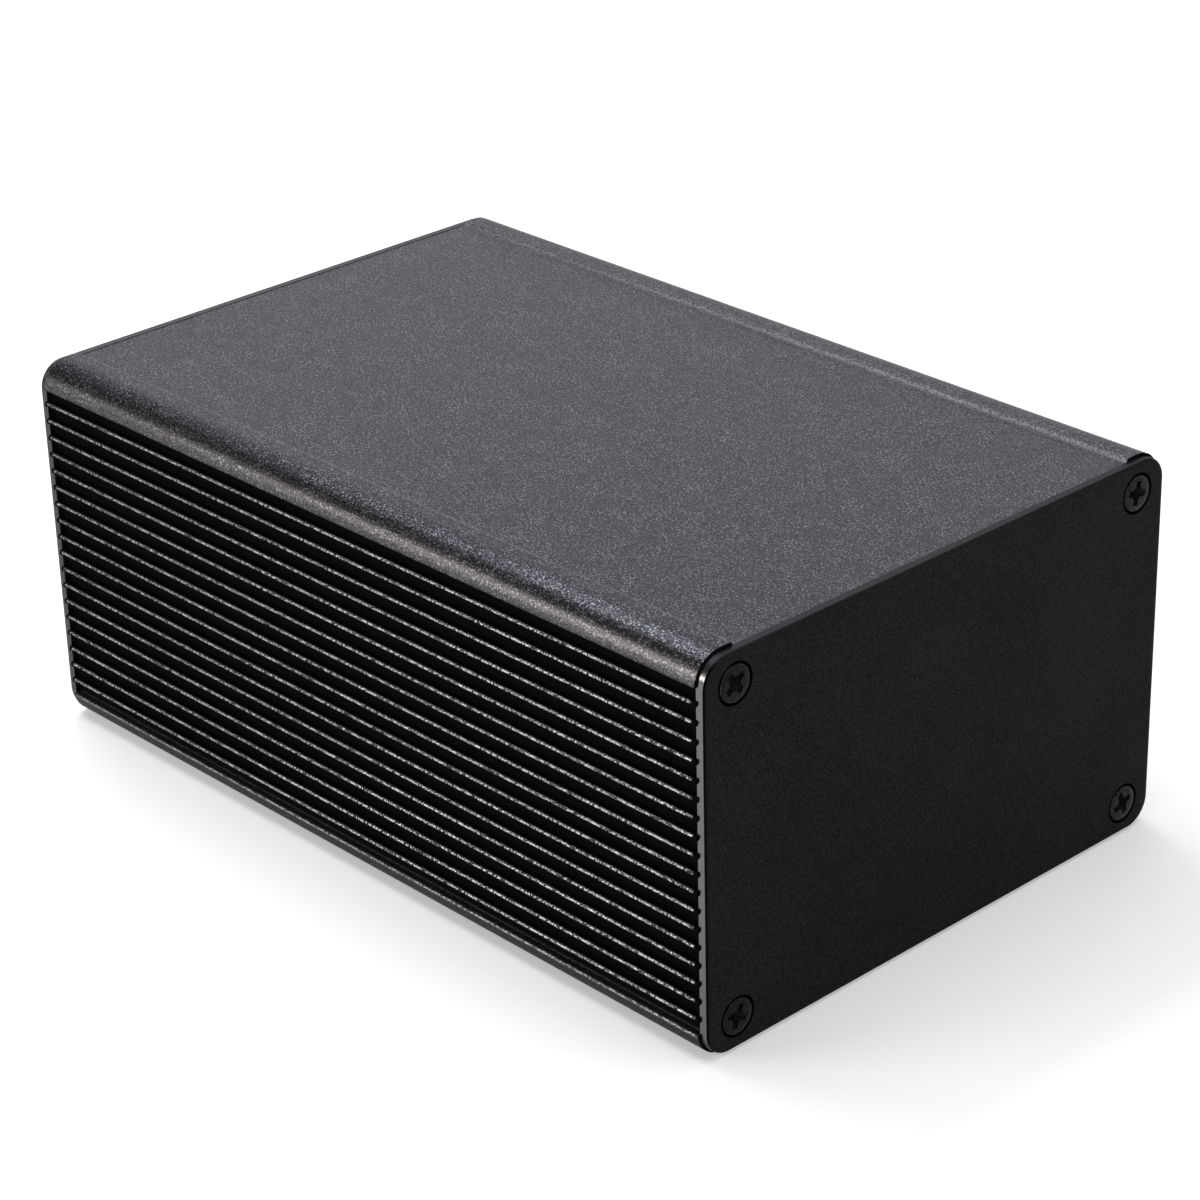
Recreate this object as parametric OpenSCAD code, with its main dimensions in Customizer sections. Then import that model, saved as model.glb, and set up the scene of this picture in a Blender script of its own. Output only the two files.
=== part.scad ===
// Extruded aluminium project box: two interlocking half shells, two end plates and eight countersunk screws.
// Millimetres. +X along the extrusion, +Y across the box, +Z up, origin at the centre of the base.

/* [Case] */
// Length of the two extruded half shells
shell_l = 100; // [40:1:220]
// Width over the ribbed sides
case_w = 66; // [54:1:120]
// Height over the raised borders
case_h = 43; // [40:1:80]
// Radius of the four long outer corners
corner_r = 3.4; // [1.5:0.1:4.4]

/* [Walls] */
// Thickness of the top and bottom panels
panel_t = 1.5; // [1:0.1:2]
// Thickness of the side walls behind the ribs
side_t = 1.3; // [1:0.1:2]
// Depth of the recess in the top and bottom panels
recess_depth = 0.4; // [0.3:0.05:1]
// Width of the raised border on each side of the recess
border_w = 4.9; // [4.6:0.1:9]
// Slope of the recess's side walls, in degrees from upright
recess_slope = 28; // [0:1:45]
// Radius along the border's lip and along the foot of the recess
recess_round = 0.08; // [0.05:0.01:0.15]

/* [Side ribs] */
// Distance from one rib to the next
rib_pitch = 1.98; // [1.6:0.02:3]
// Thickness of a rib
rib_t = 0.62; // [0.5:0.02:1]
// Depth of the grooves between the ribs
rib_depth = 0.9; // [0.5:0.1:1.2]
// Radius along the crest of a rib
rib_round = 0.28; // [0.1:0.02:0.3]
// Radius along the foot of the grooves
groove_round = 0.2; // [0.05:0.05:0.5]
// Least height of the plain band above and below the ribs
band_h = 2.9; // [2.4:0.1:6]

/* [Interlock] */
// Thickness of the tongue along one edge of each half
tongue_t = 0.9; // [0.6:0.1:1.4]
// Height of the tongue
tongue_h = 1.2; // [0.8:0.1:2]
// Gap between the tongue and each side of its groove
tongue_clear = 0.05; // [0.02:0.01:0.15]
// Gap over the tongue's tip
tongue_room = 0.15; // [0.05:0.05:0.5]
// Metal left on each side of the groove
lip_t = 0.75; // [0.5:0.05:1.2]
// Height of the thickened edge beside the split
bead_h = 3; // [2.4:0.1:4]

/* [Board slots] */
// Slots on each side wall of a half
slot_count = 2; // [1:1:2]
// Width of a slot, for a 1.6 board
slot_w = 1.8; // [1.2:0.1:2.2]
// Thickness of the ledges between the slots
ledge_t = 1.2; // [0.8:0.1:1.4]
// Length of the ledges from the side wall
ledge_l = 2; // [1:0.1:3]
// Height left free between the screw channel and the first ledge
ledge_gap = 0.8; // [0.4:0.1:2]

/* [End plates] */
// Thickness of an end plate
plate_t = 1; // [0.9:0.1:2]
// How far the plate's outline lies inside the shells' outline
plate_inset = 0.35; // [0:0.05:0.7]
// Radius of the plate's corners
plate_corner_r = 2.9; // [1:0.1:4]
// Radius round the edge of the plate's outer face
plate_edge = 0.2; // [0.05:0.05:0.4]

/* [Screws] */
// Distance of the screws from the sides of the case
screw_side = 4.4; // [4.2:0.1:8]
// Distance of the screws from the top and the base of the case
screw_edge = 3.7; // [3.6:0.1:6]
// Outside diameter of the screw
screw_d = 2.4; // [2:0.1:2.6]
// Length of the screw from the head's face to its tip
screw_l = 7; // [5:0.5:16]
// Diameter of the screw's head
head_d = 3.8; // [3.6:0.1:4.2]
// Height of the straight rim of the head
head_land = 0.3; // [0.1:0.05:0.3]
// Diameter of the countersink at the plate's face
mouth_d = 4.5; // [4.3:0.1:5]
// Gap between the head and its countersink, across the radius
seat_clear = 0.02; // [0.01:0.01:0.05]
// Diameter of the hole through the plate
plate_hole_d = 2.7; // [2.7:0.1:3.2]
// Radial gap between the screw and its channel
thread_clear = 0.05; // [0.02:0.01:0.1]
// Wall of the screw channel
channel_wall = 1.15; // [0.8:0.05:1.3]
// Width of the channel's open side
channel_mouth = 1.2; // [0.8:0.1:1.6]
// Tip to tip length of the cross recess
cross_l = 2.6; // [2:0.1:2.8]
// Width of the arms of the cross recess
cross_w = 0.7; // [0.4:0.05:0.8]
// Depth of the cross recess
cross_depth = 1; // [0.7:0.1:1.2]

/* [Hidden] */
$fn = 48;

// How far a cut runs past the face it opens
over = 1;
// How far an added piece runs into the wall that carries it
root = 0.2;

half_w = case_w / 2;
mid_h = case_h / 2;
groove_w = rib_pitch - rib_t;
grooves_below_mid = floor((mid_h - band_h - groove_w / 2) / rib_pitch);
groove_floor = half_w - rib_depth;
wall_inner = groove_floor - side_t;
panel_inner = recess_depth + panel_t;
recess_half = half_w - border_w;

bead_t = tongue_t + 2 * (tongue_clear + lip_t);
bead_inner = groove_floor - bead_t;
tongue_middle = groove_floor - bead_t / 2;
tongue_break = tongue_t / 5;

channel_d = screw_d + 2 * thread_clear;
channel_outer_r = channel_d / 2 + channel_wall;
screw_y = half_w - screw_side;
first_ledge = screw_edge + channel_outer_r + ledge_gap;
ledge_pitch = ledge_t + slot_w;

plate_w = case_w - 2 * plate_inset;
plate_h = case_h - 2 * plate_inset;
head_sink = (mouth_d - head_d) / 2 - seat_clear - head_land;
head_h = (head_d - screw_d) / 2;
tip_h = screw_d / 3;
tip_d = screw_d / 2;
cross_tip_l = cross_l / 3;
cross_core_d = cross_w * 2;

// How far each screw is turned about its own axis, one corner after another
front_turns = [38, -12, 21, -22];
rear_turns = [10, 55, -30, 72];

shell_colour = [0.16, 0.16, 0.17];
plate_colour = [0.11, 0.11, 0.115];
screw_colour = [0.07, 0.07, 0.075];

// The four screw places on an end plate, as Y and Z from the plate's middle, top left first
function screw_places() =
    let (z = mid_h - screw_edge)
    [[-screw_y, z], [screw_y, z], [screw_y, -z], [-screw_y, -z]];

// Lower half of the rounded outline, up to the split
module half_outline() {
    translate([-half_w + corner_r, 0])
        square([case_w - 2 * corner_r, mid_h]);
    translate([-half_w, corner_r])
        square([case_w, mid_h - corner_r]);
    for (side = [-1, 1])
        translate([side * (half_w - corner_r), corner_r])
            circle(r = corner_r);
}

// Slot that opens towards +X, as wide as given at its mouth and narrower at its foot where its walls slope. The foot is
// filleted and the mouth rounded over to the faces beside it
module rounded_slot(width, depth, mouth_r, foot_r, slope = 0) {
    // Distance from the corner of a wall to where its round leaves the face beside it, for a radius of 1
    reach = 1 / cos(slope) - tan(slope);
    mouth = width / 2 + mouth_r * reach;
    foot = width / 2 - depth * tan(slope) - foot_r * reach;
    // Where the rounds meet the sloping wall
    lip = [mouth_r * (sin(slope) - 1), mouth - mouth_r * cos(slope)];
    heel = [foot_r * (1 - sin(slope)) - depth, foot + foot_r * cos(slope)];
    polygon([
        [-depth, -foot],
        [heel[0], -heel[1]],
        [lip[0], -lip[1]],
        [over, -lip[1]],
        [over, lip[1]],
        lip,
        heel,
        [-depth, foot]
    ]);
    for (edge = [0, 1])
        mirror([0, edge]) {
            translate([foot_r - depth, foot])
                circle(r = foot_r);
            difference() {
                polygon([lip, [over, lip[1]], [over, mouth], [-mouth_r, mouth]]);
                translate([-mouth_r, mouth])
                    circle(r = mouth_r);
            }
        }
}

// Shallow recess of the panel between the two raised borders
module panel_recess() {
    rotate(-90)
        rounded_slot(2 * recess_half, recess_depth, recess_round, recess_round, recess_slope);
}

// The grooves of both sides, up to the middle one that holds the split
module side_grooves() {
    for (side = [0, 1], row = [0 : grooves_below_mid])
        mirror([side, 0])
            translate([half_w, mid_h - row * rib_pitch])
                rounded_slot(groove_w, rib_depth, rib_round, groove_round);
}

// Open space of the half
module cavity() {
    translate([-wall_inner, panel_inner])
        square([2 * wall_inner, mid_h - panel_inner + over]);
}

// Round screw channel in the corner, filled behind so that it joins both walls
module channel_body() {
    translate([screw_y, screw_edge])
        circle(r = channel_outer_r);
    translate([screw_y, panel_inner - root])
        square([wall_inner - screw_y + root, screw_edge - panel_inner + root]);
}

// Bore of the screw channel with its open side towards the middle of the box
module channel_cut() {
    translate([screw_y, screw_edge]) {
        circle(d = channel_d);
        rotate(135)
            translate([0, -channel_mouth / 2])
                square([channel_outer_r + over, channel_mouth]);
    }
}

// Ledges with the slots for a circuit board between them
module board_ledges() {
    for (row = [0 : slot_count])
        translate([wall_inner - ledge_l, first_ledge + row * ledge_pitch])
            square([ledge_l + root, ledge_t]);
}

// Thickened edge of the side wall beside the split, sloping back to the wall
module edge_bead() {
    step = wall_inner - bead_inner;
    polygon([
        [wall_inner + root, mid_h - bead_h - root],
        [wall_inner + root, mid_h],
        [bead_inner, mid_h],
        [bead_inner, mid_h - bead_h + step]
    ]);
}

// Tongue that stands up from the left edge
module tongue() {
    foot = tongue_t / 2;
    tip = foot - tongue_break;
    translate([-tongue_middle, mid_h])
        polygon([
            [-foot, -root],
            [foot, -root],
            [foot, tongue_h - tongue_break],
            [tip, tongue_h],
            [-tip, tongue_h],
            [-foot, tongue_h - tongue_break]
        ]);
}

// Groove in the right edge that takes the tongue of the other half
module tongue_groove() {
    width = tongue_t + 2 * tongue_clear;
    translate([tongue_middle - width / 2, mid_h - tongue_h - tongue_room])
        square([width, tongue_h + tongue_room + over]);
}

// Cross-section of a half: tongue on the left edge, groove on the right one
module half_section() {
    difference() {
        union() {
            difference() {
                half_outline();
                cavity();
            }
            for (side = [0, 1])
                mirror([side, 0]) {
                    channel_body();
                    board_ledges();
                    edge_bead();
                }
        }
        panel_recess();
        side_grooves();
        for (side = [0, 1])
            mirror([side, 0])
                channel_cut();
        tongue_groove();
    }
    tongue();
}

// One extruded half, lying as the lower one
module half_shell() {
    rotate([90, 0, 90])
        linear_extrude(height = shell_l, center = true)
            half_section();
}

// Plate of the given size on the XY plane, with round corners and a rounded edge about its upper face
module rounded_edge_plate(w, h) {
    // Half of the plate's section, from its middle at X 0 out to its rounded edge
    module half_plate_section(reach) {
        square([reach, plate_t - plate_edge]);
        square([reach - plate_edge, plate_t]);
        translate([reach - plate_edge, plate_t - plate_edge])
            circle(r = plate_edge);
    }
    // Full section of the plate across one direction
    module plate_section(across) {
        translate([-across / 2, 0])
            square([across, plate_t - plate_edge]);
        translate([plate_edge - across / 2, 0])
            square([across - 2 * plate_edge, plate_t]);
        for (side = [-1, 1])
            translate([side * (across / 2 - plate_edge), plate_t - plate_edge])
                circle(r = plate_edge);
    }
    rotate([90, 0, 0])
        linear_extrude(height = h - 2 * plate_corner_r, center = true)
            plate_section(w);
    rotate([90, 0, 90])
        linear_extrude(height = w - 2 * plate_corner_r, center = true)
            plate_section(h);
    for (sx = [-1, 1], sy = [-1, 1])
        translate([sx * (w / 2 - plate_corner_r), sy * (h / 2 - plate_corner_r), 0])
            rotate_extrude()
                half_plate_section(plate_corner_r);
}

// Countersunk hole through a plate whose outer face looks up
module countersunk_hole() {
    cone_h = (mouth_d - plate_hole_d) / 2;
    translate([0, 0, -over])
        cylinder(d = plate_hole_d, h = plate_t + 2 * over);
    translate([0, 0, plate_t - cone_h])
        cylinder(d1 = plate_hole_d, d2 = mouth_d, h = cone_h);
    translate([0, 0, plate_t])
        cylinder(d = mouth_d, h = over);
}

// End plate lying on the XY plane, with its outer face up
module end_plate() {
    difference() {
        rounded_edge_plate(plate_w, plate_h);
        for (place = screw_places())
            translate([place[0], place[1], 0])
                countersunk_hole();
    }
}

// Tapered cross recess, cut down from the face of a head at Z 0
module cross_recess() {
    for (turn = [0, 90])
        rotate([90, 0, turn])
            linear_extrude(height = cross_w, center = true)
                polygon([
                    [-cross_l / 2, over],
                    [cross_l / 2, over],
                    [cross_l / 2, 0],
                    [cross_tip_l / 2, -cross_depth],
                    [-cross_tip_l / 2, -cross_depth],
                    [-cross_l / 2, 0]
                ]);
    translate([0, 0, -cross_depth])
        cylinder(d1 = cross_w, d2 = cross_core_d, h = cross_depth);
    cylinder(d = cross_core_d, h = over);
}

// Countersunk screw with its head's face at Z 0, pointing down
module screw() {
    difference() {
        rotate_extrude()
            polygon([
                [0, -screw_l],
                [tip_d / 2, -screw_l],
                [screw_d / 2, tip_h - screw_l],
                [screw_d / 2, -head_land - head_h],
                [head_d / 2, -head_land],
                [head_d / 2, 0],
                [0, 0]
            ]);
        cross_recess();
    }
}

// The four screws of a plate lying on the XY plane, each turned by its own angle
module plate_screws(turns) {
    places = screw_places();
    for (corner = [0 : len(places) - 1])
        translate([places[corner][0], places[corner][1], plate_t - head_sink])
            rotate(turns[corner])
                screw();
}

// Stands what lies on the XY plane against the front end of the shells
module at_front_end() {
    translate([shell_l / 2, 0, mid_h])
        rotate([90, 0, 90])
            children();
}

// Stands what lies on the XY plane against the rear end of the shells
module at_rear_end() {
    rotate(180)
        at_front_end()
            children();
}

module lower_shell() {
    color(shell_colour)
        half_shell();
}

module upper_shell() {
    color(shell_colour)
        translate([0, 0, case_h])
            rotate([180, 0, 0])
                half_shell();
}

module front_end_plate() {
    color(plate_colour)
        at_front_end()
            end_plate();
}

module rear_end_plate() {
    color(plate_colour)
        at_rear_end()
            end_plate();
}

module front_plate_screws() {
    color(screw_colour)
        at_front_end()
            plate_screws(front_turns);
}

module rear_plate_screws() {
    color(screw_colour)
        at_rear_end()
            plate_screws(rear_turns);
}

upper_shell();
lower_shell();
front_end_plate();
rear_end_plate();
front_plate_screws();
rear_plate_screws();
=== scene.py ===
"""Looks of an extruded aluminium project box: finishes, screws, a plain studio and a camera.

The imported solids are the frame. The half shells and the end plates keep their solids and get
a finish. The screws are modelled again here with their threads. Lengths are in metres, in the
frame of the solids, and angles are in degrees.
"""

import logging
import math
from dataclasses import dataclass
from enum import Enum
from typing import Any, Callable, Iterator, Mapping, Sequence

import bpy
from mathutils import Matrix, Vector


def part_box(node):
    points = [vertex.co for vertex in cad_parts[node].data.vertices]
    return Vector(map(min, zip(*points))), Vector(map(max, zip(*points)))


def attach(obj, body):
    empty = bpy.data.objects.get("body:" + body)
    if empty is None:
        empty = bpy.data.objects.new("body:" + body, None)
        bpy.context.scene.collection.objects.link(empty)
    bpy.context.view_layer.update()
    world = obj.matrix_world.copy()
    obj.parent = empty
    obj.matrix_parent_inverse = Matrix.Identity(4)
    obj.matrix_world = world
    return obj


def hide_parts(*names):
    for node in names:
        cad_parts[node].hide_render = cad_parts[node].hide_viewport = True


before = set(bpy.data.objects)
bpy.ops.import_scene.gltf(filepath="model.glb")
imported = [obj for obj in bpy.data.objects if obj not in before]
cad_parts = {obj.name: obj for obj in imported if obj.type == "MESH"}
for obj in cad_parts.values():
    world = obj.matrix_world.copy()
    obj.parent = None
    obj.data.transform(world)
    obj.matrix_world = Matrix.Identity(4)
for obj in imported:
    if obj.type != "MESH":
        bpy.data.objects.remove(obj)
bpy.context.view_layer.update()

MM = 0.001
BODY = "root"

# Height of the middle of the box
MIDDLE_Z = 21.5 * MM

# Share from which a normal counts as straight, and a radius as the rim's
NEARLY = 0.99

log = logging.getLogger("project_box")

Colour = tuple[float, float, float]
Range = tuple[float, float]


def rotation(angle: float, axis: str) -> Matrix:
    """Rotation by an angle about an axis of the frame."""
    return Matrix.Rotation(math.radians(angle), 4, axis)


def orbit(
    target: Sequence[float],
    azimuth: float,
    elevation: float,
    roll: float,
    distance: float,
) -> Matrix:
    """Place of a light or camera that looks at a target.

    Args:
        target: The point that it looks at.
        azimuth: Turn about +Z, from a place on the side of -Y.
        elevation: Angle above the horizontal.
        roll: Turn about the line of sight.
        distance: Distance from the target.

    Returns:
        The place, with the line of sight along its own -Z.
    """
    turn = rotation(azimuth, "Z")
    tip = rotation(90.0 - elevation, "X")
    back = Matrix.Translation((0, 0, distance))
    return Matrix.Translation(target) @ turn @ tip @ rotation(roll, "Z") @ back


class End(Enum):
    """The two ends of the box."""

    FRONT = "front"
    REAR = "rear"

    @property
    def turn(self) -> Matrix:
        """Stands what is laid out on the XY plane, facing up, at this end, facing outwards.

        Returns:
            The turn.
        """
        upright = Matrix(((0, 0, 1, 0), (1, 0, 0, 0), (0, 1, 0, 0), (0, 0, 0, 1)))
        if self is End.FRONT:
            return upright
        return rotation(180.0, "Z") @ upright

    @property
    def plate_node(self) -> str:
        """Name of the plate's solid."""
        return f"{self.value}_end_plate"

    @property
    def screws_node(self) -> str:
        """Name of the solids of the plate's screws."""
        return f"{self.value}_plate_screws"


# Shader graph


class Value:
    """A number in a shader graph, with the arithmetic that the finishes use."""

    def __init__(self, graph: "Graph", socket: bpy.types.NodeSocket) -> None:
        """Wraps one output socket of a graph."""
        self.graph = graph
        self.socket = socket

    def _math(self, operation: str, *operands: "Value | float") -> "Value":
        """Adds a Math node with the given operation on the operands."""
        settings = {"operation": operation}
        return self.graph.value("ShaderNodeMath", settings, dict(enumerate(operands)))

    def __add__(self, other: "Value | float") -> "Value":
        """Sum."""
        return self._math("ADD", self, other)

    def __radd__(self, other: float) -> "Value":
        """Sum with a number on the left."""
        return self._math("ADD", other, self)

    def __sub__(self, other: "Value | float") -> "Value":
        """Difference."""
        return self._math("SUBTRACT", self, other)

    def __rsub__(self, other: float) -> "Value":
        """Difference from a number on the left."""
        return self._math("SUBTRACT", other, self)

    def __mul__(self, other: "Value | float") -> "Value":
        """Product."""
        return self._math("MULTIPLY", self, other)

    def __rmul__(self, other: float) -> "Value":
        """Product with a number on the left."""
        return self._math("MULTIPLY", other, self)

    def __abs__(self) -> "Value":
        """Size without sign."""
        return self._math("ABSOLUTE", self)

    def wave(self) -> "Value":
        """Sine."""
        return self._math("SINE", self)

    def largest(self, other: "Value | float") -> "Value":
        """The larger of the two."""
        return self._math("MAXIMUM", self, other)

    def diagonal(self, other: "Value") -> "Value":
        """Length of the diagonal over two lengths at right angles."""
        return self._math("SQRT", self * self + other * other)

    def wrapped(self, period: float) -> "Value":
        """Wraps a value that repeats into half a period on each side of 0."""
        return self._math("WRAP", self, period / 2, -period / 2)

    def centred(self) -> "Value":
        """Moves noise around 0.5 to lie around 0."""
        return self - 0.5

    def step_up(self, low: float, high: float) -> "Value":
        """Rises smoothly from 0 at low to 1 at high.

        Args:
            low: Value below which the result is 0.
            high: Value above which the result is 1.

        Returns:
            The smooth step.
        """
        settings = {"interpolation_type": "SMOOTHSTEP"}
        inputs = {"Value": self, "From Min": low, "From Max": high}
        return self.graph.value("ShaderNodeMapRange", settings, inputs, "Result")

    def up_to(self, face: float, depth: Range) -> "Value":
        """Rises smoothly from 0 to 1 on the way out to a face.

        Args:
            face: Where the face lies.
            depth: Depths below the face at which the rise starts and ends.

        Returns:
            The smooth step.
        """
        start, end = depth
        return self.step_up(face - start, face - end)

    def near(self, middle: float, half: float, fade: float) -> "Value":
        """1 within a distance of a value, fading to 0 beyond it.

        Args:
            middle: The value.
            half: Distance within which the result is 1.
            fade: Width of the fade outside that.

        Returns:
            The band.
        """
        return 1.0 - abs(self - middle).step_up(half, half + fade)


class Graph:
    """A node tree that is built from Python expressions."""

    def __init__(self, tree: bpy.types.NodeTree) -> None:
        """Empties the tree."""
        self.tree = tree
        tree.nodes.clear()

    def node(
        self,
        kind: str,
        settings: Mapping[str, Any] | None = None,
        inputs: Mapping[str | int, Any] | None = None,
    ) -> bpy.types.Node:
        """Adds a node, sets it up and joins its inputs.

        Args:
            kind: Blender's name of the node's type.
            settings: Properties of the node, or "stops" with the places and colours of a ramp.
            inputs: Values or links by the name or number of the input socket.

        Returns:
            The new node.
        """
        node = self.tree.nodes.new(kind)
        for name, setting in (settings or {}).items():
            if name == "stops":
                self._set_stops(node.color_ramp, setting)
            else:
                setattr(node, name, setting)
        for name, given in (inputs or {}).items():
            if isinstance(given, Value):
                given = given.socket
            if isinstance(given, bpy.types.NodeSocket):
                self.tree.links.new(given, node.inputs[name])
            else:
                node.inputs[name].default_value = given
        return node

    def value(
        self,
        kind: str,
        settings: Mapping[str, Any] | None = None,
        inputs: Mapping[str | int, Any] | None = None,
        output: str | int = 0,
    ) -> Value:
        """Adds a node and wraps one of its outputs.

        Args:
            kind: Blender's name of the node's type.
            settings: Properties of the node.
            inputs: Values or links by input socket.
            output: Name or number of the output socket.

        Returns:
            The output as a value.
        """
        return Value(self, self.node(kind, settings, inputs).outputs[output])

    def place(self) -> bpy.types.NodeSocket:
        """The point's place in the frame of the solids."""
        return self.node("ShaderNodeTexCoord").outputs["Object"]

    def stretched(self, scale: Sequence[float]) -> bpy.types.NodeSocket:
        """The point's place with X, Y and Z each scaled by a factor."""
        inputs = {"Vector": self.place(), "Scale": scale}
        return self.node("ShaderNodeMapping", {}, inputs).outputs[0]

    def axes(self, vector: bpy.types.NodeSocket | None = None) -> tuple[Value, ...]:
        """X, Y and Z of a vector, or of the point's place."""
        parts = self.node("ShaderNodeSeparateXYZ", {}, {"Vector": vector or self.place()})
        return tuple(Value(self, out) for out in parts.outputs)

    def noise(
        self,
        feature: float,
        detail: float,
        vector: bpy.types.NodeSocket | None = None,
    ) -> Value:
        """Noise with features of the given size.

        Args:
            feature: Size of a feature, in the units of the vector.
            detail: Octaves of finer noise.
            vector: Where the noise is read, or the point's place.

        Returns:
            Noise around 0.5.
        """
        inputs = {"Vector": vector or self.place(), "Scale": 1.0 / feature, "Detail": detail}
        return self.value("ShaderNodeTexNoise", {}, inputs, "Fac")

    def tint(
        self,
        factor: Value,
        low: Colour | bpy.types.NodeSocket,
        high: Colour | bpy.types.NodeSocket,
    ) -> bpy.types.NodeSocket:
        """Mixes two colours.

        Args:
            factor: 0 for the first colour, 1 for the second.
            low: First colour.
            high: Second colour.

        Returns:
            The mixed colour.
        """
        first, second = (
            colour if isinstance(colour, bpy.types.NodeSocket) else (*colour, 1.0)
            for colour in (low, high)
        )
        inputs = {0: factor, 6: first, 7: second}
        return self.node("ShaderNodeMix", {"data_type": "RGBA"}, inputs).outputs[2]

    def bump(self, height: Value, depth: float) -> bpy.types.NodeSocket:
        """Normal of a surface with relief of the given depth."""
        return self.node("ShaderNodeBump", {}, {"Height": height, "Distance": depth}).outputs[0]

    @staticmethod
    def _set_stops(ramp: bpy.types.ColorRamp, stops: Sequence[tuple[float, Colour]]) -> None:
        """Gives a ramp its stops.

        Args:
            ramp: The ramp of a node.
            stops: Places and colours, from first to last.
        """
        while len(ramp.elements) < len(stops):
            ramp.elements.new(1.0)
        for element, (position, colour) in zip(ramp.elements, stops):
            element.position = position
            element.color = (*colour, 1.0)


def new_material(name: str) -> tuple[bpy.types.Material, Graph]:
    """Makes an empty node material.

    Args:
        name: The material's name.

    Returns:
        The material and its graph.
    """
    material = bpy.data.materials.new(name)
    material.use_nodes = True
    return material, Graph(material.node_tree)


def finish_surface(graph: Graph, inputs: Mapping[str | int, Any]) -> None:
    """Ends a material's graph in one Principled surface with the given inputs."""
    surface = graph.node("ShaderNodeBsdfPrincipled", {}, inputs)
    graph.node("ShaderNodeOutputMaterial", {}, {"Surface": surface.outputs[0]})


# Zones of the pieces


@dataclass(frozen=True)
class ShellSection:
    """Where the shells' ribs, panels, roundings and sawn ends lie."""

    half_l: float
    half_w: float
    half_h: float
    middle_z: float
    rib_pitch: float = 1.98 * MM
    ribbed_half: float = 18.1 * MM
    ribbed_fade: float = 0.9 * MM
    ribbed_depth: Range = (1.2 * MM, 1.1 * MM)
    crest_depth: Range = (0.20 * MM, 0.12 * MM)
    crest_rise: float = 0.12 * MM
    crest_rows_drop: float = 0.5 * MM
    crest_rows_half: float = 18.55 * MM
    crest_rows_fade: float = 0.05 * MM
    crest_end_depth: Range = (0.50 * MM, 0.30 * MM)
    lip_y: float = 28.22 * MM
    lip_half: float = 0.06 * MM
    lip_fade: float = 0.05 * MM
    lip_depth: Range = (0.2 * MM, 0.1 * MM)
    step_y: float = 27.75 * MM
    step_half: float = 0.28 * MM
    step_fade: float = 0.10 * MM
    step_depth: Range = (0.6 * MM, 0.5 * MM)
    flank_depth: Range = (0.9 * MM, 1.7 * MM)
    low_edge_depth: Range = (3.4 * MM, 2.2 * MM)
    low_edge_side_depth: Range = (3.0 * MM, 1.8 * MM)
    sawn_depth: Range = (0.02 * MM, 0.005 * MM)

    def ribbed(self, graph: Graph) -> Value:
        """Masks the ribbed zone of both sides.

        Args:
            graph: The material's graph.

        Returns:
            1 among the ribs, 0 elsewhere.
        """
        _, y, z = graph.axes()
        outside = abs(y).up_to(self.half_w, self.ribbed_depth)
        return outside * (z - self.middle_z).near(0.0, self.ribbed_half, self.ribbed_fade)

    def crests(self, graph: Graph) -> Value:
        """Masks the upper edges of the ribs' crests, short of the sawn ends.

        A highlight is painted on them.

        Args:
            graph: The material's graph.

        Returns:
            1 on those edges, 0 elsewhere.
        """
        x, y, z = graph.axes()
        proud = abs(y).up_to(self.half_w, self.crest_depth)
        above_rib_middle = (z - (self.middle_z + self.rib_pitch / 2)).wrapped(self.rib_pitch)
        from_rows_middle = z - (self.middle_z - self.crest_rows_drop)
        rows = from_rows_middle.near(0.0, self.crest_rows_half, self.crest_rows_fade)
        along = 1.0 - abs(x).up_to(self.half_l, self.crest_end_depth)
        return proud * above_rib_middle.step_up(0.0, self.crest_rise) * rows * along

    def lips(self, graph: Graph) -> Value:
        """Masks the lips of the two panels' recesses.

        Args:
            graph: The material's graph.

        Returns:
            1 on the lips, 0 elsewhere.
        """
        _, y, z = graph.axes()
        on_panel = abs(z - self.middle_z).up_to(self.half_h, self.lip_depth)
        return abs(y).near(self.lip_y, self.lip_half, self.lip_fade) * on_panel

    def steps(self, graph: Graph) -> Value:
        """Masks the walls of the recesses and the strips of panel at their feet.

        Args:
            graph: The material's graph.

        Returns:
            1 on the walls and strips, 0 elsewhere.
        """
        _, y, z = graph.axes()
        on_panel = abs(z - self.middle_z).up_to(self.half_h, self.step_depth)
        return abs(y).near(self.step_y, self.step_half, self.step_fade) * on_panel

    def flanks(self, graph: Graph) -> Value:
        """Masks the sides and the outer halves of the roundings.

        The die leaves a smoother skin there.

        Args:
            graph: The material's graph.

        Returns:
            1 on the sides, 0 on top and below.
        """
        _, _, z = graph.axes()
        return (self.half_h - abs(z - self.middle_z)).step_up(*self.flank_depth)

    def lower_edges(self, graph: Graph) -> Value:
        """Masks the outer halves of the lower roundings, where shade is painted.

        Args:
            graph: The material's graph.

        Returns:
            1 on those halves, 0 elsewhere.
        """
        _, y, z = graph.axes()
        below = (self.middle_z - z).up_to(self.half_h, self.low_edge_depth)
        return below * abs(y).up_to(self.half_w, self.low_edge_side_depth)

    def ends(self, graph: Graph) -> Value:
        """Masks the sawn end faces: 1 on them, 0 elsewhere."""
        x, _, _ = graph.axes()
        return abs(x).up_to(self.half_l, self.sawn_depth)


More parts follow.
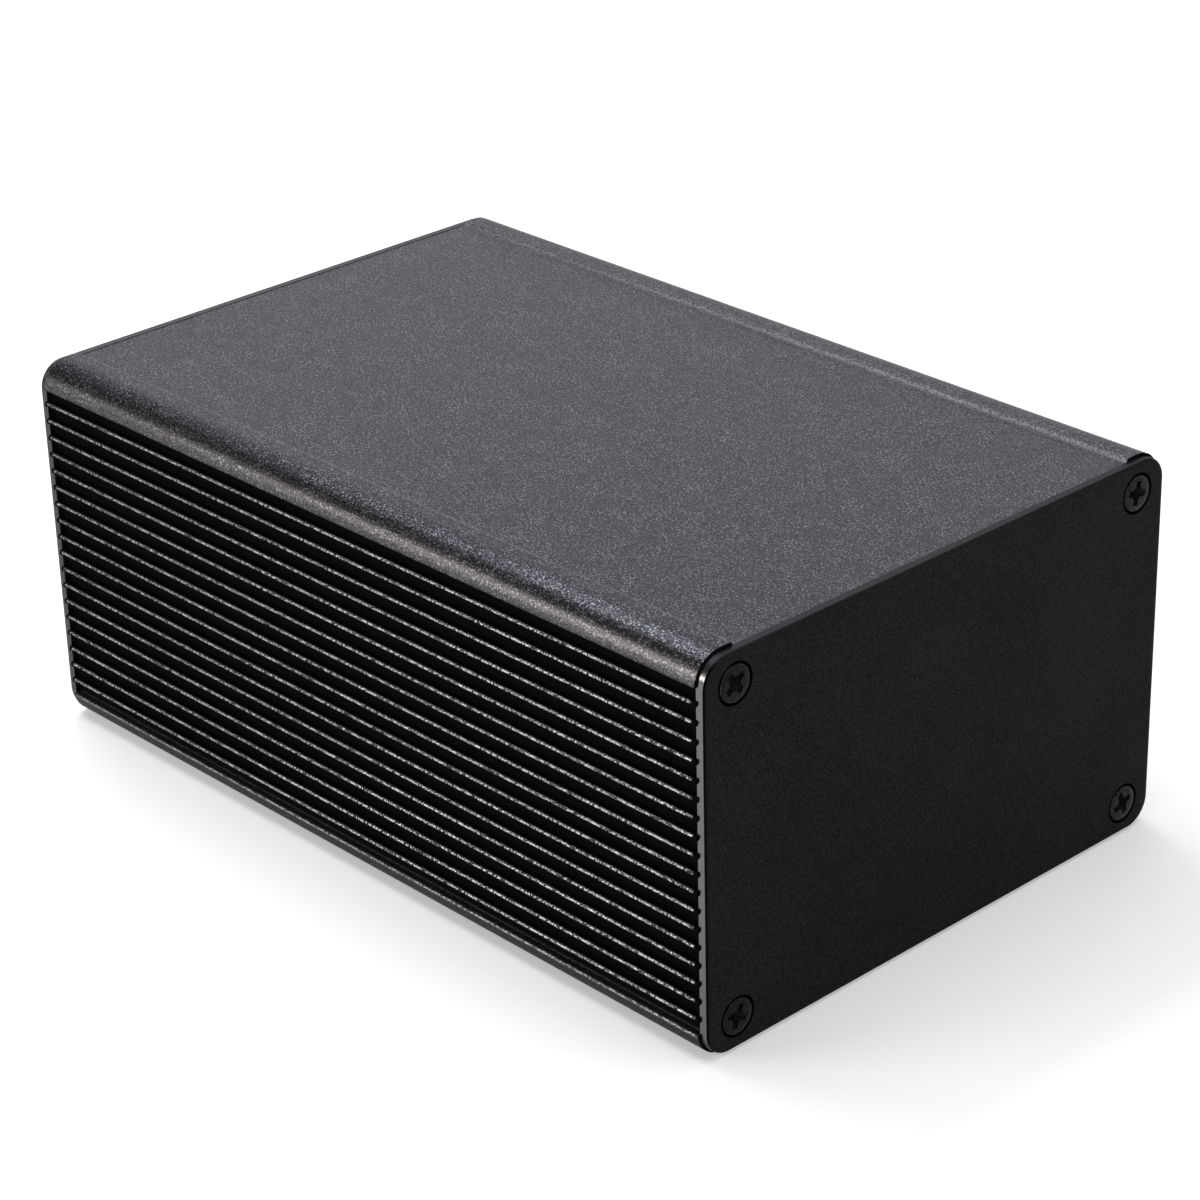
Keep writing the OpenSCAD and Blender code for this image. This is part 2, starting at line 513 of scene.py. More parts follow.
@dataclass(frozen=True)
class ScrewCorners:
    """Where the four screws of an end plate and their countersinks lie."""

    across: float
    up: float
    middle_z: float
    face_x: float
    mouth_r: float = 2.25 * MM
    mouth_depth: Range = (0.06 * MM, 0.0)

    @classmethod
    def from_solids(cls, head_d: float) -> "ScrewCorners":
        """Reads the places from the solids of the front plate's screws.

        Args:
            head_d: Diameter of a screw's head.

        Returns:
            The places.
        """
        low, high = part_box(End.FRONT.screws_node)
        across = (high.y - low.y - head_d) / 2
        up = (high.z - low.z - head_d) / 2
        return cls(across, up, (high.z + low.z) / 2, high.x)

    def places(self) -> tuple[tuple[float, float], ...]:
        """Places of the screws on a plate, across and up from its middle, in a ring."""
        across, up = self.across, self.up
        return ((-across, up), (across, up), (across, -up), (-across, -up))

    def radius(self, graph: Graph) -> Value:
        """Distance of a point from the axis of the nearest screw."""
        _, y, z = graph.axes()
        return (abs(y) - self.across).diagonal(abs(z - self.middle_z) - self.up)

    def countersinks(self, graph: Graph) -> Value:
        """Masks the countersinks, where the shade of the heads is painted: 1 within them, 0
        elsewhere.
        """
        return 1.0 - self.radius(graph).up_to(self.mouth_r, self.mouth_depth)


@dataclass(frozen=True)
class PlateOutline:
    """Outline of an end plate, its outer face and the rounded edge round that face."""

    middle_z: float
    half_w: float
    half_h: float
    face_x: float
    corner_r: float = 2.9 * MM
    edge_r: float = 0.2 * MM
    edge_share: float = 0.7
    rim_depth: Range = (0.15 * MM, 0.02 * MM)
    side_depth: Range = (0.8 * MM, 0.15 * MM)
    # Reach and corner shares of the dark reflection painted along the short sides
    dark_reflection_depth: Range = (0.50 * MM, 0.36 * MM)
    dark_reflection_corner: Range = (0.7, 0.3)

    def _reach(self, graph: Graph) -> Value:
        """Distance out from the rectangle that joins the middles of the corners' roundings.

        Args:
            graph: The material's graph.

        Returns:
            The distance, which is the corners' radius all along the outline.
        """
        _, y, z = graph.axes()
        over_y = (abs(y) - (self.half_w - self.corner_r)).largest(0.0)
        over_z = (abs(z - self.middle_z) - (self.half_h - self.corner_r)).largest(0.0)
        return over_y.diagonal(over_z)

    def _outer(self, graph: Graph) -> Value:
        """Masks the outer face and its rounded edge: 1 on them, 0 on the straight rim."""
        x, _, _ = graph.axes()
        return abs(x).up_to(self.face_x, (self.edge_r, self.edge_share * self.edge_r))

    def rim(self, graph: Graph) -> Value:
        """Masks the rim all round: 1 on it, fading to 0 on the rounded edge of the face."""
        return self._reach(graph).up_to(self.corner_r, self.rim_depth)

    def short_sides(self, graph: Graph) -> Value:
        """Marks where the rim is straight and runs up the plate's short sides.

        Args:
            graph: The material's graph.

        Returns:
            1 beside the short sides, 0 round their feet and on the face's rounded edge.
        """
        _, y, z = graph.axes()
        beside = abs(y).up_to(self.half_w, self.side_depth)
        foot = self.middle_z - self.half_h
        above_foot = z.step_up(foot + self.corner_r / 2, foot + self.corner_r)
        return beside * above_foot * (1.0 - self._outer(graph))

    def dark_reflection_edges(self, graph: Graph) -> Value:
        """Masks the edge of the outer face along the short sides, where a dark reflection is
        painted.

        Args:
            graph: The material's graph.

        Returns:
            1 on that edge, fading to 0 round the corners, and 0 elsewhere.
        """
        _, y, _ = graph.axes()
        border = self._reach(graph).up_to(self.corner_r, self.dark_reflection_depth)
        start, end = (share * self.corner_r for share in self.dark_reflection_corner)
        return border * abs(y).up_to(self.half_w, (start, end)) * self._outer(graph)


# Finishes


@dataclass(frozen=True)
class BlastedAnodise:
    """Black anodising over fine sandblasting.

    It bears painted highlights on rib edges, lips and recess walls, painted shade on the ribbed
    sides and lower roundings, and is blacker on sawn ends.
    """

    dark: Colour = (0.016, 0.016, 0.0173)
    light: Colour = (0.084, 0.084, 0.091)
    glint: Colour = (0.45, 0.45, 0.49)
    # Colour of the highlight painted along the recess walls and the strips at their feet
    step_highlight: Colour = (0.193, 0.203, 0.227)
    smooth: Colour = (0.061, 0.061, 0.066)
    # Colour of the highlight painted on the ribs' upper edges and the recess lips
    edge: Colour = (0.310, 0.314, 0.332)
    # Near-black colour of the shade painted on the ribbed sides and the lower roundings
    painted_shade_colour: Colour = (0.0048, 0.0048, 0.0052)
    sawn: Colour = (0.0070, 0.0070, 0.0074)
    grain: float = 0.19 * MM
    fine_share: float = 0.45
    patch: float = 2.6 * MM
    die_line: float = 0.35 * MM
    die_length: float = 60 * MM
    pit_range: Range = (0.34, 0.66)
    glint_range: Range = (0.58, 0.70)
    glint_drift: float = 0.16
    glint_share: float = 0.57
    smooth_share: float = 0.45
    # Least share and matt share of the highlight painted on the recess walls
    step_highlight_least: float = 0.25
    step_highlight_matt: float = 0.7
    # Speckle and least share of the painted highlights, and the share of the lips' painted
    # highlight
    highlight_speckle_range: Range = (0.42, 0.60)
    highlight_least: float = 0.08
    lip_highlight: float = 0.12
    # Share of the shade painted on the lower roundings
    low_shade_share: float = 0.7
    roughness: float = 0.33
    rough_grain: float = 0.12
    rough_line: float = 0.06
    rough_patch: float = 0.05
    grain_depth: float = 0.014 * MM
    fine_relief: float = 0.4
    line_relief: float = 0.2

    def material(self, section: ShellSection) -> bpy.types.Material:
        """Makes the material: grain with glints, faint lines along the extrusion, painted
        highlights and painted shade by zone.

        Args:
            section: Where the zones lie.

        Returns:
            The material.
        """
        material, graph = new_material("shell_blasted_anodise")
        grain = graph.noise(self.grain, detail=1.5)
        fine = graph.noise(self.fine_share * self.grain, detail=1.0)
        patch = graph.noise(self.patch, detail=2.0)
        lengthwise = graph.stretched((self.die_line / self.die_length, 1.0, 1.0))
        die_line = graph.noise(self.die_line, detail=2.0, vector=lengthwise)
        pits = grain.step_up(*self.pit_range)
        glint = (grain + self.glint_drift * patch.centred()).step_up(*self.glint_range)
        # Painted highlight: speckled pale upper edges of the rib crests and a faint line on the
        # recess lips
        speckle = self.highlight_least + (1.0 - self.highlight_least) * grain.step_up(*self.highlight_speckle_range)
        painted_highlight = section.crests(graph) * speckle + self.lip_highlight * section.lips(graph)
        steps = section.steps(graph)
        ends = section.ends(graph)
        # Painted shade: the ribbed sides and the lower roundings' outer halves go near-black and
        # matt
        painted_shade = section.ribbed(graph).largest(self.low_shade_share * section.lower_edges(graph))
        pitted = graph.tint(pits, self.dark, self.light)
        blasted = graph.tint(self.glint_share * glint, pitted, self.glint)
        drawn = graph.tint(self.smooth_share * section.flanks(graph), blasted, self.smooth)
        # Painted highlight: a pale grainy band on the recess walls, which also covers the shade
        # line at their feet
        step_highlight_grain = self.step_highlight_least + (1.0 - self.step_highlight_least) * pits
        step_highlighted = graph.tint(steps * step_highlight_grain, drawn, self.step_highlight)
        with_painted_light = graph.tint(painted_highlight, graph.tint(painted_shade, step_highlighted, self.painted_shade_colour), self.edge)
        # Metallic falls where shade and the step highlight are painted, so they read as matt
        # colour
        matt = painted_shade.largest(self.step_highlight_matt * steps) * (1.0 - painted_highlight)
        uneven = (
            self.rough_grain * grain.centred()
            + self.rough_line * die_line.centred()
            + self.rough_patch * patch.centred()
        )
        relief = grain + self.fine_relief * fine + self.line_relief * die_line
        finish_surface(graph, {
            "Base Color": graph.tint(ends, with_painted_light, self.sawn),
            "Metallic": 1.0 - matt.largest(ends),
            "Specular IOR Level": 0.0,
            "Roughness": self.roughness + uneven,
            "Normal": graph.bump(relief, self.grain_depth),
        })
        return material


@dataclass(frozen=True)
class MattAnodise:
    """Fine matt black anodising of an end plate, thinner on its rim and sheared short sides,
    with painted shade in the countersinks and a painted dark reflection along the face's short
    edges.
    """

    name: str
    rim: Colour
    sheared: Colour
    dark: Colour = (0.0086, 0.0086, 0.0086)
    light: Colour = (0.0200, 0.0200, 0.0200)
    # Colour of the shade painted in the countersinks
    sunk_shade: Colour = (0.0012, 0.0012, 0.0012)
    # Colour of the dark reflection painted along the face's short edges
    painted_dark_reflection: Colour = (0.0022, 0.0022, 0.0024)
    bare: float = 0.22
    grain: float = 0.18 * MM
    cloud: float = 9 * MM
    cloud_share: float = 0.15
    streak: float = 0.12 * MM
    streak_stretch: float = 0.15
    streak_share: float = 0.5
    shade_range: Range = (0.40, 0.60)
    sheared_share: float = 0.75
    sheared_polish: float = 0.28
    roughness: float = 0.46
    rough_grain: float = 0.12
    rough_cloud: float = 0.05
    grain_depth: float = 0.004 * MM

    def material(self, outline: PlateOutline, corners: ScrewCorners) -> bpy.types.Material:
        """Makes the material for a plate.

        Args:
            outline: The plate's outline.
            corners: Where its screws lie.

        Returns:
            The material.
        """
        material, graph = new_material(self.name)
        rim = outline.rim(graph)
        painted_dark_reflection = outline.dark_reflection_edges(graph)
        sheared = rim * outline.short_sides(graph)
        countersinks = corners.countersinks(graph)
        grain = graph.noise(self.grain, detail=2.0)
        cloud = graph.noise(self.cloud, detail=3.0)
        thickness = graph.stretched((self.streak_stretch, 1.0, 1.0))
        streak = graph.noise(self.streak, detail=2.0, vector=thickness)
        blend = (1.0 - self.cloud_share) * grain + self.cloud_share * cloud
        shaded = graph.tint(blend.step_up(*self.shade_range), self.dark, self.light)
        # Painted shade in the countersinks
        face = graph.tint(countersinks, shaded, self.sunk_shade)
        # Painted dark reflection along the face's short edges, kept fully metallic
        rimmed = graph.tint(painted_dark_reflection, graph.tint(rim, face, self.rim), self.painted_dark_reflection)
        streaked = sheared * (self.sheared_share + self.streak_share * streak.centred())
        metal = self.bare * (1.0 - countersinks) + (1.0 - self.bare) * rim
        uneven = self.rough_grain * grain.centred() + self.rough_cloud * cloud.centred()
        finish_surface(graph, {
            "Base Color": graph.tint(streaked, rimmed, self.sheared),
            "Metallic": metal.largest(painted_dark_reflection),
            "Specular IOR Level": 0.0,
            "Roughness": self.roughness + uneven - self.sheared_polish * sheared,
            "Normal": graph.bump(grain, self.grain_depth),
        })
        return material


@dataclass(frozen=True)
class BlackOxide:
    """Satin black oxide of the screws, with faint rings from turning on the heads, a painted
    highlight round each head's rim and painted shade in the cross recess.
    """

    dark: Colour = (0.0010, 0.0010, 0.0010)
    light: Colour = (0.0140, 0.0140, 0.0140)
    # Colour of the highlight painted round the heads' rims
    painted_highlight: Colour = (0.070, 0.069, 0.067)
    # Colour of the shade painted in the cross recesses, which are made matt
    recess: Colour = (0.018, 0.018, 0.018)
    grain: float = 0.16 * MM
    shade_range: Range = (0.38, 0.68)
    highlight_speckle_range: Range = (0.35, 0.6)
    highlight_share: float = 0.6
    highlight_half: float = 0.05 * MM
    highlight_fade: float = 0.05 * MM
    recess_depth: Range = (0.30 * MM, 0.06 * MM)
    roughness: float = 0.38
    rough_grain: float = 0.2
    ring: float = 0.11 * MM
    ring_relief: float = 0.18
    relief: float = 0.003 * MM

    def material(self, corners: ScrewCorners, rim_r: float) -> bpy.types.Material:
        """Makes the material for screws at the four corners of a plate.

        Args:
            corners: Where the screws lie.
            rim_r: Radius at which a highlight is painted round a head's rim.

        Returns:
            The material.
        """
        material, graph = new_material("screw_black_oxide")
        x, _, _ = graph.axes()
        radius = corners.radius(graph)
        rings = (radius * (2 * math.pi / self.ring)).wave()
        grain = graph.noise(self.grain, detail=3.0)
        # Painted highlight: a speckled pale ring round each head's rim
        on_rim = radius.near(rim_r, self.highlight_half, self.highlight_fade)
        painted_highlight = on_rim * grain.step_up(*self.highlight_speckle_range)
        # Painted shade: all below the head's face, the cross recess in view, goes dark and matt
        sunk_shade = 1.0 - abs(x).up_to(corners.face_x, self.recess_depth)
        oxide = graph.tint(grain.step_up(*self.shade_range), self.dark, self.light)
        with_painted_light = graph.tint(self.highlight_share * painted_highlight, oxide, self.painted_highlight)
        finish_surface(graph, {
            "Base Color": graph.tint(sunk_shade, with_painted_light, self.recess),
            "Metallic": 1.0 - sunk_shade,
            "Specular IOR Level": 0.0,
            "Roughness": self.roughness + self.rough_grain * grain.centred(),
            "Normal": graph.bump(grain + self.ring_relief * rings, self.relief),
        })
        return material


# Modelling helpers


def deselect_all() -> None:
    """Leaves edit mode and deselects every object."""
    if bpy.context.mode != "OBJECT":
        bpy.ops.object.mode_set(mode="OBJECT")
    bpy.ops.object.select_all(action="DESELECT")


def activate(piece: bpy.types.Object) -> None:
    """Makes one object the only selected and the active one.

    Args:
        piece: The object.
    """
    deselect_all()
    piece.select_set(True)
    bpy.context.view_layer.objects.active = piece


def apply_place(piece: bpy.types.Object) -> bpy.types.Object:
    """Moves the place of the active object into its mesh, and gives the object back."""
    bpy.ops.object.transform_apply(location=True, rotation=True, scale=True)
    return piece


def edit_selected(
    piece: bpy.types.Object,
    kind: str,
    choose: Callable[[bpy.types.Mesh], None],
) -> None:
    """Enters edit mode with only chosen faces or edges selected.

    Args:
        piece: The mesh object.
        kind: "FACE" or "EDGE".
        choose: Sets the selection on the mesh.
    """
    activate(piece)
    bpy.ops.object.mode_set(mode="EDIT")
    bpy.ops.mesh.select_mode(type=kind)
    bpy.ops.mesh.select_all(action="DESELECT")
    bpy.ops.object.mode_set(mode="OBJECT")
    choose(piece.data)
    bpy.ops.object.mode_set(mode="EDIT")


def select_facing(piece: bpy.types.Object, upwards: float) -> None:
    """Enters edit mode with only the faces that face straight up or straight down selected.

    Args:
        piece: The mesh object.
        upwards: 1 for up, -1 for down.
    """
    def choose(mesh: bpy.types.Mesh) -> None:
        """Marks the wanted faces."""
        for face in mesh.polygons:
            face.select = upwards * face.normal.z > NEARLY

    edit_selected(piece, "FACE", choose)


def select_edges(piece: bpy.types.Object, wanted: Callable[[Vector, Vector], bool]) -> None:
    """Enters edit mode with only the wanted edges selected.

    Args:
        piece: The mesh object.
        wanted: Says from an edge's two ends whether it is selected.
    """
    def choose(mesh: bpy.types.Mesh) -> None:
        """Marks the wanted edges."""
        for edge in mesh.edges:
            edge.select = wanted(*(mesh.vertices[number].co for number in edge.vertices))

    edit_selected(piece, "EDGE", choose)


def apply_boolean(piece: bpy.types.Object, tool: bpy.types.Object, operation: str) -> None:
    """Cuts or joins a piece with a tool object, then removes the tool.

    Args:
        piece: The object that stays.
        tool: The object that is used up.
        operation: "DIFFERENCE" or "UNION".
    """
    activate(piece)
    modifier = piece.modifiers.new("tool", "BOOLEAN")
    modifier.operation = operation
    modifier.solver = "EXACT"
    modifier.object = tool
    bpy.ops.object.modifier_apply(modifier=modifier.name)
    bpy.data.objects.remove(tool)


def dress_node(node: str, material: bpy.types.Material) -> None:
    """Gives a solid its finish.

    Args:
        node: Name of the solid.
        material: The finish.
    """
    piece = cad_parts[node]
    piece.data.materials.clear()
    piece.data.materials.append(material)
    log.info("%s: %s", node, material.name)


# Sub-assemblies


@dataclass
class ShellPair:
    """The two extruded half shells."""

    finish: BlastedAnodise
    upper_node: str = "upper_shell"
    lower_node: str = "lower_shell"

    def dress(self) -> None:
        """Gives both halves their finish."""
        low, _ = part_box(self.lower_node)
        _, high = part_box(self.upper_node)
        half = (high - low) / 2
        section = ShellSection(half.x, half.y, half.z, (high.z + low.z) / 2)
        material = self.finish.material(section)
        for node in (self.upper_node, self.lower_node):
            dress_node(node, material)


@dataclass
class EndPlates:
    """The two flat plates that close the ends."""

    finishes: Mapping[End, MattAnodise]
    corners: ScrewCorners

    def dress(self) -> None:
        """Gives each plate its finish."""
        low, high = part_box(End.FRONT.plate_node)
        half = (high - low) / 2
        outline = PlateOutline((high.z + low.z) / 2, half.y, half.z, high.x)
        for end, finish in self.finishes.items():
            dress_node(end.plate_node, finish.material(outline, self.corners))


@dataclass
class ScrewModel:
    """One countersunk screw with a cross recess and a thread, hanging from its face at Z 0."""

    head_d: float = 3.8 * MM
    land_h: float = 0.3 * MM
    neck_d: float = 2.4 * MM
    core_d: float = 1.95 * MM
    length: float = 7.0 * MM
    head_edge: float = 0.05 * MM
    head_edge_segments: int = 3
    face_band: float = 0.01 * MM
    tip_length: float = 0.8 * MM
    tip_share: float = 0.5
    sides: int = 64
    pitch: float = 0.6 * MM
    ridge_share: float = 0.35
    ridge_root: float = 0.05 * MM
    ridge_clear: float = 0.01 * MM
    ridge_start: float = 0.5
    ridge_steps: int = 32
    cross_l: float = 2.6 * MM
    cross_w: float = 0.72 * MM
    cross_depth: float = 1.0 * MM
    cross_taper: float = 0.34
    cross_middle_d: float = 1.45 * MM
    cross_middle_foot: float = 0.6
    cross_middle_sides: int = 32
    cutter_over: float = 0.5 * MM
    smooth_angle: float = 32.0

    def build(self) -> bpy.types.Object:
        """Models the screw at the origin.

        Returns:
            The finished screw.
        """
        screw = self._blank()
        apply_boolean(screw, self._thread(), "UNION")
        for tool in self._cross_tools():
            apply_boolean(screw, tool, "DIFFERENCE")
        activate(screw)
        bpy.ops.object.shade_smooth_by_angle(angle=math.radians(self.smooth_angle))
        return screw

    def _blank(self) -> bpy.types.Object:
        """Models the head, neck, shank and tip without thread or recess.

        Returns:
            The blank.
        """
        deselect_all()
        bpy.ops.mesh.primitive_cylinder_add(
            vertices=self.sides,
            radius=self.head_d / 2,
            depth=self.land_h,
            location=(0, 0, -self.land_h / 2),
        )
        screw = apply_place(bpy.context.object)
        cone_h = (self.head_d - self.neck_d) / 2
        fall_h = (self.neck_d - self.core_d) / 2
        straight = self.length - self.land_h - cone_h - fall_h - self.tip_length
        steps = (
            (cone_h, self.neck_d / self.head_d),
            (fall_h, self.core_d / self.neck_d),
            (straight, 1.0),
            (self.tip_length, self.tip_share),
        )
        select_facing(screw, -1.0)
        for drop, share in steps:
            bpy.ops.mesh.extrude_region_move(TRANSFORM_OT_translate={"value": (0, 0, -drop)})
            bpy.ops.transform.resize(value=(share, share, 1.0))
        select_edges(screw, self._on_rim)
        bpy.ops.mesh.bevel(
            offset=self.head_edge,
            segments=self.head_edge_segments,
            affect="EDGES",
        )
        bpy.ops.object.mode_set(mode="OBJECT")
        return screw

    def _on_rim(self, first: Vector, second: Vector) -> bool:
        """Says from its two ends whether an edge runs round the face of the head."""
        outside = min(first.xy.length, second.xy.length) > NEARLY * self.head_d / 2
        return outside and min(first.z, second.z) > -self.face_band

    def _thread(self) -> bpy.types.Object:
        """Models the helical ridge round the shank.

        Returns:
            The ridge, with its foot inside the shank.
        """
        head_h = self.land_h + (self.head_d - self.core_d) / 2
        turns = int((self.length - head_h - self.tip_length) / self.pitch) - 1
        root_r = self.core_d / 2 - self.ridge_root
        crest_r = self.neck_d / 2 - self.ridge_clear
        ridge = self.ridge_share * self.pitch
        start = self.tip_length - self.length + self.ridge_start * self.pitch
        deselect_all()
        bpy.ops.mesh.primitive_circle_add(vertices=3, radius=self.core_d / 2)
        thread = bpy.context.object
        corners = ((crest_r, 0.0), (root_r, ridge), (root_r, -ridge))
        for point, (radius, height) in zip(thread.data.vertices, corners):
            point.co = (radius, 0.0, start + height)
        modifier = thread.modifiers.new("helix", "SCREW")
        modifier.screw_offset = self.pitch
        modifier.iterations = turns
        modifier.steps = self.ridge_steps
        modifier.render_steps = self.ridge_steps
        activate(thread)
        bpy.ops.object.modifier_apply(modifier=modifier.name)
        bpy.ops.object.mode_set(mode="EDIT")
        bpy.ops.mesh.select_all(action="SELECT")
        bpy.ops.mesh.fill_holes(sides=4)
        bpy.ops.mesh.select_all(action="SELECT")
        bpy.ops.mesh.normals_make_consistent(inside=False)
        bpy.ops.object.mode_set(mode="OBJECT")
        return thread

    def _cross_tools(self) -> Iterator[bpy.types.Object]:
        """Models the cutters of the cross recess one after the other.

        Returns:
            Two tapered arms and a round middle.
        """
        middle = (0, 0, -self.cross_depth / 2)
        for turn, share in (
            (0.0, (self.cross_taper, 1.0, 1.0)),
            (math.pi / 2, (1.0, self.cross_taper, 1.0)),
        ):
            deselect_all()
            bpy.ops.mesh.primitive_cube_add(size=1.0, location=middle, rotation=(0, 0, turn))
            arm = bpy.context.object
            arm.scale = (self.cross_l, self.cross_w, self.cross_depth)
            apply_place(arm)
            select_facing(arm, -1.0)
            bpy.ops.transform.resize(value=share)
            yield self._open_upwards(arm)
        deselect_all()
        bpy.ops.mesh.primitive_cone_add(
            vertices=self.cross_middle_sides,
            radius1=self.cross_middle_foot * self.cross_middle_d / 2,
            radius2=self.cross_middle_d / 2,
            depth=self.cross_depth,
            location=middle,
        )
        yield self._open_upwards(apply_place(bpy.context.object))

    def _open_upwards(self, tool: bpy.types.Object) -> bpy.types.Object:
        """Raises the top of a cutter past the face that it opens.

        Args:
            tool: The cutter.

        Returns:
            The same cutter.
        """
        select_facing(tool, 1.0)
        raised = {"value": (0, 0, self.cutter_over)}
        bpy.ops.mesh.extrude_region_move(TRANSFORM_OT_translate=raised)
        bpy.ops.object.mode_set(mode="OBJECT")
        return tool


@dataclass
class PlateScrews:
    """The four screws of each end plate."""

    model: ScrewModel
    finish: BlackOxide
    corners: ScrewCorners
    front_turns: tuple[float, ...] = (38.0, -12.0, 21.0, -22.0)
    rear_turns: tuple[float, ...] = (10.0, 55.0, -30.0, 72.0)

    def build(self) -> None:
        """Models one screw and copies it to the corners of both plates."""
        corners = self.corners
        material = self.finish.material(corners, self.model.head_d / 2)
        pattern = self.model.build()
        for end, turns in ((End.FRONT, self.front_turns), (End.REAR, self.rear_turns)):
            stand = Matrix.Translation((0, 0, corners.middle_z)) @ end.turn
            for number, (place, turn) in enumerate(zip(corners.places(), turns), start=1):
                lay = Matrix.Translation((*place, corners.face_x)) @ rotation(turn, "Z")
                name = f"{end.value}_screw_{number}"
                self._copy(pattern, name, stand @ lay, material, end.screws_node)
        bpy.data.objects.remove(pattern)

    @staticmethod
    def _copy(
        pattern: bpy.types.Object,
        name: str,
        place: Matrix,
        material: bpy.types.Material,
        node: str,
    ) -> None:
        """Adds one screw with its place in its own mesh.

        Args:
            pattern: The screw at the origin.
            name: The new screw's name.
            place: Where it goes.
            material: Its finish.
            node: The solids that it stands for.
        """
        screw = pattern.copy()
        screw.data = pattern.data.copy()
        screw.name = name
        bpy.context.scene.collection.objects.link(screw)
        screw.data.transform(place)
        screw.data.materials.clear()
        screw.data.materials.append(material)
        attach(screw, BODY)
        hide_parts(node)
        log.info("%s: %s", name, material.name)


# Studio and camera


@dataclass(frozen=True)
class Softbox:
    """A rectangular soft light that looks at the middle of the box."""

    name: str
    azimuth: float
    elevation: float
    distance: float
    width: float
    height: float
    radiance: float
    colour: Colour = (1.0, 1.0, 1.0)
    roll: float = 0.0

    def place(self, target: Vector) -> None:
        """Adds the light.

        Args:
            target: What the light looks at.
        """
        lamp = bpy.data.lights.new(self.name, "AREA")
        lamp.shape = "RECTANGLE"
        lamp.size = self.width
        lamp.size_y = self.height
        lamp.energy = self.radiance * math.pi * self.width * self.height
        lamp.color = self.colour
        light = bpy.data.objects.new(self.name, lamp)
        bpy.context.scene.collection.objects.link(light)
        light.matrix_world = orbit(
            target, self.azimuth, self.elevation, self.roll, self.distance
        )
        light.visible_camera = False


# Colours of the lights
WARM: Colour = (1.09, 1.0, 0.93)
COOL: Colour = (0.97, 0.99, 1.06)
SKY: Colour = (0.97, 0.98, 1.08)


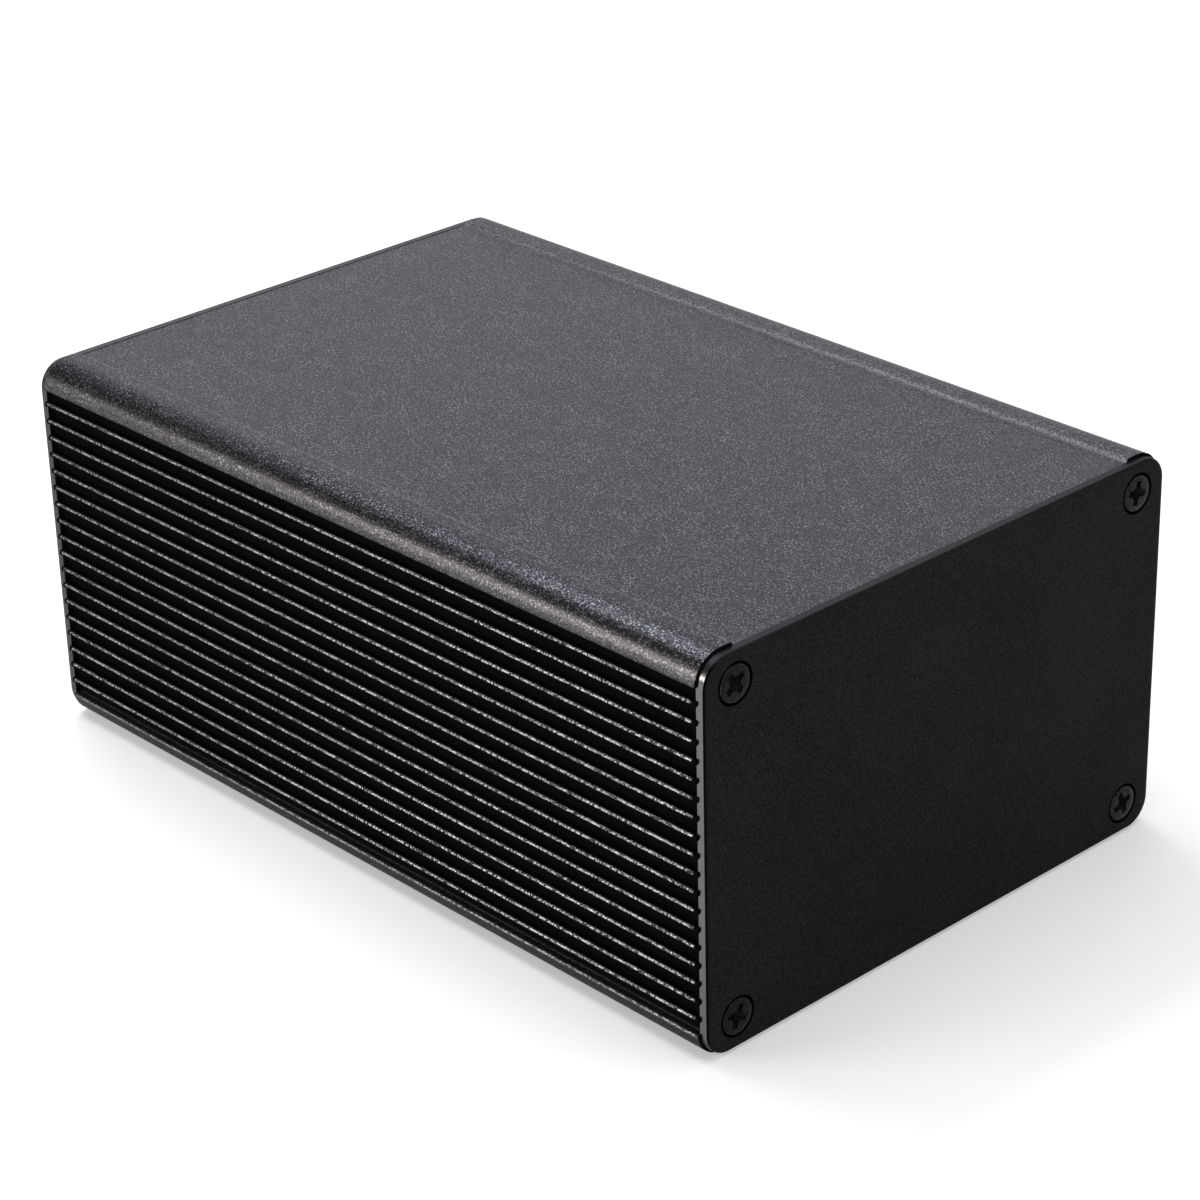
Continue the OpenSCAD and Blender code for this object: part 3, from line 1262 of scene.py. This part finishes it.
@dataclass
class Studio:
    """Pale floor, soft lights and surroundings that are pale at the horizon."""

    target: Vector
    floor_size: float = 6.0
    floor_dim: Colour = (0.885, 0.885, 0.885)
    floor_light: Colour = (0.90, 0.90, 0.90)
    floor_grain: float = 1.5 * MM
    floor_glow: float = 0.30
    horizon: float = 0.60
    above: float = 0.20
    horizon_end: float = 0.06
    above_start: float = 0.22
    # Name, azimuth, elevation, distance, width, height, radiance, colour, roll
    softboxes: tuple[Softbox, ...] = (
        Softbox("low_left_softbox", -31.0, 14.5, 0.70, 0.36, 0.125, 13.5, WARM, -20.0),
        Softbox("high_left_softbox", -90.0, 61.0, 0.80, 0.50, 0.16, 9.2, COOL),
        Softbox("rear_left_softbox", -133.0, 28.0, 0.90, 0.75, 0.46, 0.85, SKY),
        Softbox("overhead_softbox", 0.0, 90.0, 1.10, 0.90, 0.90, 2.0),
        Softbox("right_softbox", 115.0, 34.0, 0.90, 0.60, 0.35, 1.8),
        Softbox("front_softbox", 45.0, 22.0, 0.90, 0.75, 0.46, 0.7),
    )

    def build(self) -> None:
        """Makes the floor, the surroundings and the lights."""
        self._floor()
        self._surroundings()
        for softbox in self.softboxes:
            softbox.place(self.target)

    def _floor(self) -> None:
        """Adds the pale floor that the box stands on."""
        deselect_all()
        bpy.ops.mesh.primitive_plane_add(size=self.floor_size)
        floor = bpy.context.object
        floor.name = "floor"
        material, graph = new_material("floor_paper")
        paper = graph.noise(self.floor_grain, detail=2.0)
        colour = graph.tint(paper, self.floor_dim, self.floor_light)
        matt = graph.node("ShaderNodeBsdfDiffuse", {}, {"Color": colour}).outputs[0]
        glow = graph.node("ShaderNodeEmission", {}, {"Strength": self.floor_glow}).outputs[0]
        lit = graph.node("ShaderNodeAddShader", {}, {0: matt, 1: glow}).outputs[0]
        path = graph.node("ShaderNodeLightPath")
        seen = Value(graph, path.outputs["Is Camera Ray"])
        for ray in ("Is Glossy Ray", "Is Transmission Ray"):
            seen = seen.largest(Value(graph, path.outputs[ray]))
        look = graph.node("ShaderNodeMixShader", {}, {0: seen, 1: matt, 2: lit})
        graph.node("ShaderNodeOutputMaterial", {}, {"Surface": look.outputs[0]})
        floor.data.materials.append(material)

    def _surroundings(self) -> None:
        """Makes the world: pale towards the horizon and darker above."""
        world = bpy.data.worlds.new("surroundings")
        bpy.context.scene.world = world
        world.use_nodes = True
        graph = Graph(world.node_tree)
        _, _, height = graph.axes(graph.node("ShaderNodeTexCoord").outputs["Generated"])
        pale = (self.horizon,) * 3
        stops = [(0.0, pale), (self.horizon_end, pale), (self.above_start, (self.above,) * 3)]
        sky = graph.node("ShaderNodeValToRGB", {"stops": stops}, {"Fac": height})
        background = graph.node("ShaderNodeBackground", {}, {"Color": sky.outputs["Color"]})
        graph.node("ShaderNodeOutputWorld", {}, {"Surface": background.outputs[0]})


@dataclass(frozen=True)
class PhotoCamera:
    """Camera at the photograph's viewing angle."""

    azimuth: float = 47.307
    elevation: float = 26.218
    roll: float = -1.479
    distance: float = 376.13 * MM
    target: tuple[float, float, float] = (3.18 * MM, -0.87 * MM, MIDDLE_Z)
    focal_pixels: float = 3540.5
    frame_pixels: float = 1200.0
    sensor: float = 36.0
    nearest: float = 0.01
    farthest: float = 50.0

    def build(self) -> None:
        """Adds the camera and makes it the scene's own."""
        data = bpy.data.cameras.new("camera")
        data.sensor_width = self.sensor
        data.lens = self.sensor * self.focal_pixels / self.frame_pixels
        data.clip_start = self.nearest
        data.clip_end = self.farthest
        camera = bpy.data.objects.new("camera", data)
        bpy.context.scene.collection.objects.link(camera)
        camera.matrix_world = orbit(
            self.target, self.azimuth, self.elevation, self.roll, self.distance
        )
        bpy.context.scene.camera = camera


def main() -> None:
    """Builds the camera, the studio and the dressed box."""
    logging.basicConfig(level=logging.INFO, format="%(name)s: %(message)s")
    bpy.context.scene.view_settings.view_transform = "Standard"
    PhotoCamera().build()
    Studio(Vector((0, 0, MIDDLE_Z))).build()
    ShellPair(BlastedAnodise()).dress()
    screw = ScrewModel()
    corners = ScrewCorners.from_solids(screw.head_d)
    front_finish = MattAnodise(
        "front_plate_matt_anodise",
        rim=(0.026, 0.026, 0.028),
        sheared=(0.165, 0.165, 0.170),
    )
    rear_finish = MattAnodise(
        "rear_plate_matt_anodise",
        rim=(0.085, 0.085, 0.088),
        sheared=(0.028, 0.030, 0.034),
    )
    EndPlates({End.FRONT: front_finish, End.REAR: rear_finish}, corners).dress()
    PlateScrews(screw, BlackOxide(), corners).build()


if __name__ == "__main__":
    main()
